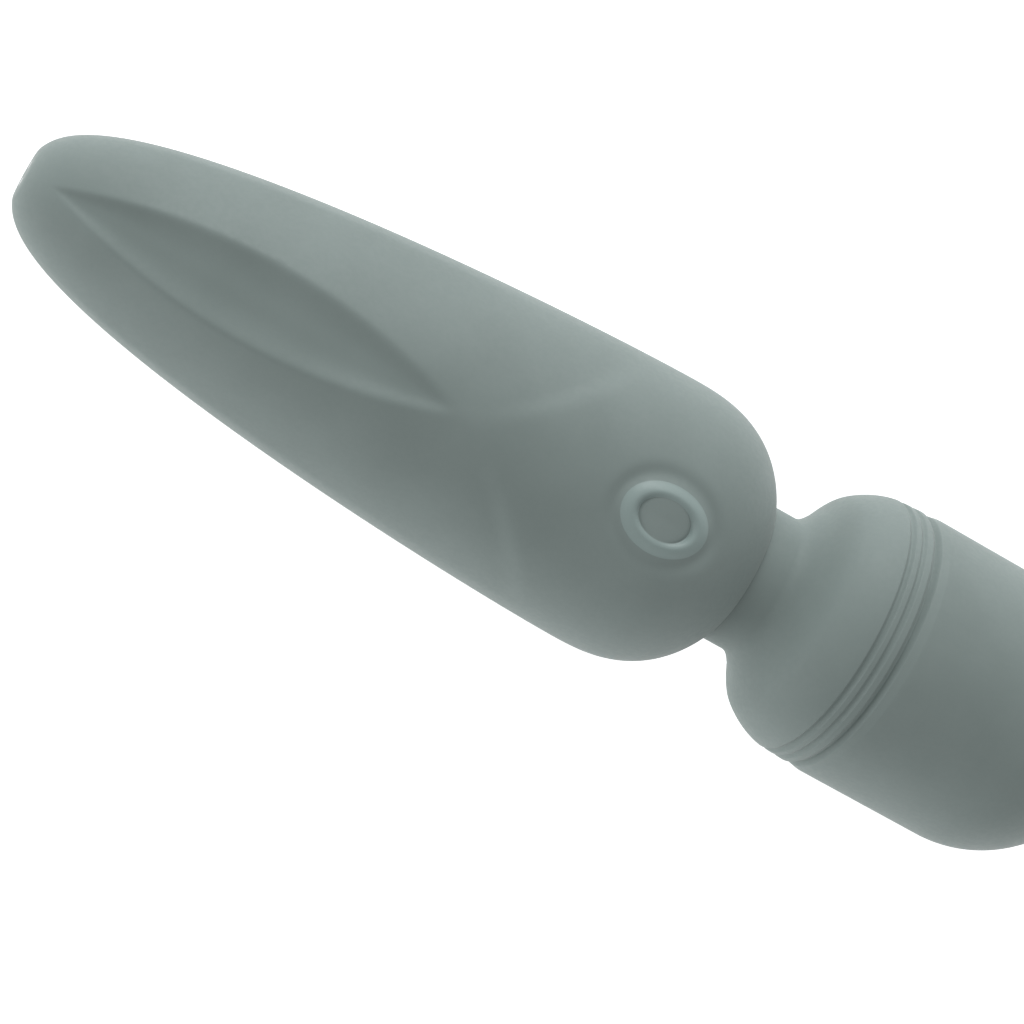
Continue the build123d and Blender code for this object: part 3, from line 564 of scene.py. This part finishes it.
# The CAD nodes that have each finish
NODE_FINISH = {
    "silicone": ["charge_port"],
    "housing_plastic": ["housing_front", "housing_back", "head_base", "head_cap", "button_plate"],
    "dark_plastic": [
        "switch_body", "switch_plunger", "neck_collar", "neck_link", "head_collar",
        "motor_end_bell", "board_components",
    ],
    "steel": [
        "housing_screws", "board_screws", "pitch_pins", "yaw_pins", "head_collar_screws", "motor_can",
        "motor_bracket", "motor_screws", "motor_shaft", "motor_armature", "eccentric_weight",
        "charge_contacts",
    ],
    "ferrite": ["charge_magnet", "motor_magnets"],
    "brass": ["motor_brushes", "motor_bushings", "motor_windings", "motor_commutator"],
    "board": ["circuit_board"],
    "battery_wrap": ["battery_cell"],
    "foam": ["battery_pad", "motor_damper"],
    "lead_cover": ["charge_leads", "battery_leads"],
}
MADE = {}  # the materials made so far, by name


def shader(name):
    """A new node material, with its node tree and its shader."""
    material = bpy.data.materials.new(name)
    material.use_nodes = True
    tree = material.node_tree
    return material, tree, tree.nodes["Principled BSDF"]


def noise(tree, scale, detail, stretch=(1, 1, 1)):
    """Noise in the frame's coordinates: scale is in features a metre."""
    place = tree.nodes.new("ShaderNodeTexCoord")
    mapping = tree.nodes.new("ShaderNodeMapping")
    mapping.inputs["Scale"].default_value = stretch
    texture = tree.nodes.new("ShaderNodeTexNoise")
    texture.inputs["Scale"].default_value = scale
    texture.inputs["Detail"].default_value = detail
    tree.links.new(place.outputs["Object"], mapping.inputs["Vector"])
    tree.links.new(mapping.outputs["Vector"], texture.inputs["Vector"])
    return texture.outputs["Fac"]


def spread(tree, value, low, high):
    """A noise's values spread out between low and high."""
    span = tree.nodes.new("ShaderNodeMapRange")
    numbers = {"From Min": NOISE_LOW, "From Max": NOISE_HIGH, "To Min": low, "To Max": high}
    for socket, number in numbers.items():
        span.inputs[socket].default_value = number
    tree.links.new(value, span.inputs["Value"])
    return span.outputs["Result"]


def tint(tree, value, dark, light):
    """A colour between two, by a noise."""
    mix = tree.nodes.new("ShaderNodeMix")
    mix.data_type = "RGBA"
    mix.inputs["A"].default_value = (*dark, 1)
    mix.inputs["B"].default_value = (*light, 1)
    tree.links.new(spread(tree, value, 0, 1), mix.inputs["Factor"])
    return mix.outputs["Result"]


def raise_surface(tree, value, height, strength, below=None):
    """Bump from a value, on top of another bump if there is one."""
    bump = tree.nodes.new("ShaderNodeBump")
    bump.inputs["Distance"].default_value = height
    bump.inputs["Strength"].default_value = strength
    tree.links.new(value, bump.inputs["Height"])
    if below is not None:
        tree.links.new(below, bump.inputs["Normal"])
    return bump.outputs["Normal"]


def silicone(name="soft_silicone", look=COVER_LOOK):
    """Soft-touch sage-grey silicone: fine tooth, faint cloudiness and a soft sheen."""
    if name in MADE:
        return MADE[name]
    dark, light, rough = look
    material, tree, skin = shader(name)
    MADE[name] = material
    tree.links.new(tint(tree, noise(tree, *CLOUD_NOISE), dark, light), skin.inputs["Base Color"])
    tree.links.new(spread(tree, noise(tree, *GLOSS_NOISE), *rough), skin.inputs["Roughness"])
    swell = raise_surface(tree, noise(tree, *SWELL_NOISE), *SWELL_BUMP)
    tooth = raise_surface(tree, noise(tree, *TOOTH_NOISE), *TOOTH_BUMP, swell)
    tree.links.new(tooth, skin.inputs["Normal"])
    skin.inputs["Specular IOR Level"].default_value = SILICONE_SPECULAR
    skin.inputs["Sheen Weight"].default_value = SILICONE_SHEEN
    skin.inputs["Sheen Roughness"].default_value = SILICONE_SHEEN_ROUGH
    return material


def ring_silicone_with_highlight():
    """The smoother silicone of the button's ring, paler partly from its own tint and partly as a painted
    highlight.
    """
    return silicone("ring_silicone_with_highlight", RING_LOOK_WITH_HIGHLIGHT)


def finish_material(name):
    """The procedural material of one of the record's slots."""
    if name == "silicone":
        return silicone()
    if name in MADE:
        return MADE[name]
    dark, light, scale, stretch, rough, metallic, height = FINISHES[name]
    material, tree, skin = shader(f"{name}_finish")
    MADE[name] = material
    grain = noise(tree, scale, GRAIN_DETAIL, stretch)
    wear = noise(tree, scale / WEAR_RATIO, WEAR_DETAIL)
    bump = raise_surface(tree, grain, height, GRAIN_STRENGTH)
    tree.links.new(tint(tree, wear, dark, light), skin.inputs["Base Color"])
    tree.links.new(spread(tree, grain, *rough), skin.inputs["Roughness"])
    tree.links.new(bump, skin.inputs["Normal"])
    skin.inputs["Metallic"].default_value = metallic
    return material


def dress_inner_nodes():
    """Each carried-over CAD node gets its slot's material and smooth shading."""
    for slot, nodes in NODE_FINISH.items():
        for name in nodes:
            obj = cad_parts[name]
            obj.data.materials.clear()
            obj.data.materials.append(finish_material(slot))
            obj.data.set_sharp_from_angle(angle=PART_CREASE)


# ---------------------------------------------------------------- spring and leads in the neck


def tube_along(name, path, radius):
    """A round wire along a list of points."""
    path = np.array(path, float)
    along = directions(path)
    up = np.array([0.0, 0.0, 1.0]) if abs(along[0][2]) < STEEP else np.array([0.0, 1.0, 0.0])
    points, loops = [], []
    turn = full_turn(WIRE_SIDES)[:, None]
    for place, direction in zip(path, along):
        up = up - direction * (up @ direction)
        up /= np.linalg.norm(up)
        beside = np.cross(direction, up)
        loops.append(add_loop(points, place + radius * (np.cos(turn) * up + np.sin(turn) * beside)))
    return add_mesh(name, points, [loops[0][::-1], loops[-1], *strips(loops)], WIRE_CREASE)


def make_spring():
    """The neck's coil spring, as a lower and an upper half that meet at the waist."""
    low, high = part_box("neck_spring")
    coil = high.y - SPRING_WIRE_R
    x0, x1 = low.x + SPRING_WIRE_R, high.x - SPRING_WIRE_R
    waist_share = (WAIST_X - x0) / (x1 - x0)
    halves = (
        ("neck_spring_lower", 0, waist_share, "handle", "neck_link", LOWER_BEND),
        ("neck_spring_upper", waist_share, 1, "neck_link", "head", UPPER_BEND),
    )
    for name, first, last, body, after, bend in halves:
        share = np.linspace(first, last, SPRING_POINTS)
        path = around(x0 + (x1 - x0) * share, coil, 2 * pi * SPRING_TURNS * share)
        half = tube_along(name, path, SPRING_WIRE_R)
        half.data.materials.append(finish_material("steel"))
        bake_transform(half)
        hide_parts("neck_spring")


def make_motor_leads():
    """The two motor leads, as a lower part up to the waist and an upper part to the motor."""
    low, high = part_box("motor_leads")
    spread_y = high.y - LEAD_R - LEAD_Y
    lower_x = np.linspace(low.x, WAIST_X, LOWER_LEAD_POINTS)
    upper_x = np.linspace(WAIST_X, high.x - LEAD_R, UPPER_LEAD_POINTS)
    rise = step_up((upper_x - LEAD_SPREAD_X) / (high.x - LEAD_SPREAD_X))
    for k, side in enumerate((1, -1)):
        lower = [(x, side * LEAD_Y, 0) for x in lower_x]
        upper = [(x, side * (LEAD_Y + spread_y * share), 0) for x, share in zip(upper_x, rise)]
        parts = (
            (f"motor_lead_lower_{k + 1}", lower, "handle", "neck_link", LOWER_BEND),
            (f"motor_lead_upper_{k + 1}", upper, "neck_link", "head", UPPER_BEND),
        )
        for name, path, body, after, bend in parts:
            lead = tube_along(name, path, LEAD_R)
            lead.data.materials.append(finish_material("lead_cover"))
            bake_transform(lead)
            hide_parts("motor_leads")


# ---------------------------------------------------------------- camera, light and floor


# The object's length, button side and width in the view's axes, and where in the view AIM lies
OBJECT_IN_VIEW = [(0.8505, -0.4714, -0.2334), (0.2041, -0.1132, 0.9724), (0.4848, 0.8746, 0.0)]
ROLL = radians(2.5)  # of the object about its own length
AIM = Vector((81.7 * MM, 0, 0))
AIM_IN_VIEW = Vector((3.95 * MM, 7.14 * MM, -450 * MM))
LENS_MM, SENSOR_MM = 112.5, 36
CLIP_NEAR, CLIP_FAR = 0.01, 10

# Each light: direction from AIM along the view's right, up and back, its reach, size and watts
LIGHTS = {
    "key": ((0.3, 0.85, 0.4), 1.5, 0.9, 11.3),
    "side": ((-0.85, -0.15, 0.4), 0.7, 0.4, 0.9),
}
WHITE = (1, 1, 1, 1)
WORLD_STRENGTH = 0.45
FLOOR_HALF = 10.0
FLOOR_DROP = 15 * MM  # clear of the head when the neck bends down
FLOOR_DARK, FLOOR_LIGHT, FLOOR_NOISE = (0.86, 0.86, 0.86), (0.88, 0.88, 0.88), (12, 3)
FLOOR_ROUGH, FLOOR_GLOW = 0.9, 0.66


def make_camera():
    """Camera nearly overhead, with the handle running down to the right. Returns the view's axes."""
    along, normal, across = (Vector(v) for v in OBJECT_IN_VIEW)
    up = normal * cos(ROLL) + across * sin(ROLL)
    side = across * cos(ROLL) - normal * sin(ROLL)
    view_axes = Matrix((along, side, up))
    data = bpy.data.cameras.new("camera")
    data.lens = LENS_MM
    data.sensor_width = SENSOR_MM
    data.clip_start = CLIP_NEAR
    data.clip_end = CLIP_FAR
    camera = bpy.data.objects.new("camera", data)
    place = AIM - view_axes @ AIM_IN_VIEW
    camera.matrix_world = Matrix.Translation(place) @ view_axes.to_4x4()
    bpy.context.scene.collection.objects.link(camera)
    bpy.context.scene.camera = camera
    return view_axes


def add_area(name, place, size, watts):
    """A soft square light aimed at the object."""
    data = bpy.data.lights.new(name, "AREA")
    data.shape = "RECTANGLE"
    data.size = size
    data.size_y = size
    data.energy = watts
    lamp = bpy.data.objects.new(name, data)
    lamp.location = place
    lamp.rotation_mode = "QUATERNION"
    lamp.rotation_quaternion = (AIM - place).to_track_quat("-Z", "Y")
    bpy.context.scene.collection.objects.link(lamp)


def make_studio(view_axes):
    """White surroundings, a big soft key light at the view's top, a weak one on its left, and a floor."""
    world = bpy.data.worlds.new("studio")
    bpy.context.scene.world = world
    world.use_nodes = True
    background = world.node_tree.nodes["Background"]
    background.inputs["Color"].default_value = WHITE
    background.inputs["Strength"].default_value = WORLD_STRENGTH
    right, up, back = (view_axes.col[k] for k in range(3))
    for name, (direction, reach, size, watts) in LIGHTS.items():
        offset = direction[0] * right + direction[1] * up + direction[2] * back
        add_area(name, AIM + offset * reach, size, watts)

    floor_z = cad_low.z - FLOOR_DROP
    corners = [(-1, -1), (1, -1), (1, 1), (-1, 1)]
    mesh = bpy.data.meshes.new("floor")
    points = [(FLOOR_HALF * x, FLOOR_HALF * y, floor_z) for x, y in corners]
    mesh.from_pydata(points, [], [(0, 1, 2, 3)])
    floor = bpy.data.objects.new("floor", mesh)
    bpy.context.scene.collection.objects.link(floor)
    material, tree, skin = shader("studio_floor")
    cloud = tint(tree, noise(tree, *FLOOR_NOISE), FLOOR_DARK, FLOOR_LIGHT)
    tree.links.new(cloud, skin.inputs["Base Color"])
    skin.inputs["Roughness"].default_value = FLOOR_ROUGH
    skin.inputs["Emission Color"].default_value = WHITE
    skin.inputs["Emission Strength"].default_value = FLOOR_GLOW
    floor.data.materials.append(material)
    bpy.context.scene.view_settings.view_transform = "Standard"


make_studio(make_camera())
make_button_pad(make_handle_skin())
make_neck_sleeve()
make_head_skin()
make_spring()
make_motor_leads()
dress_inner_nodes()
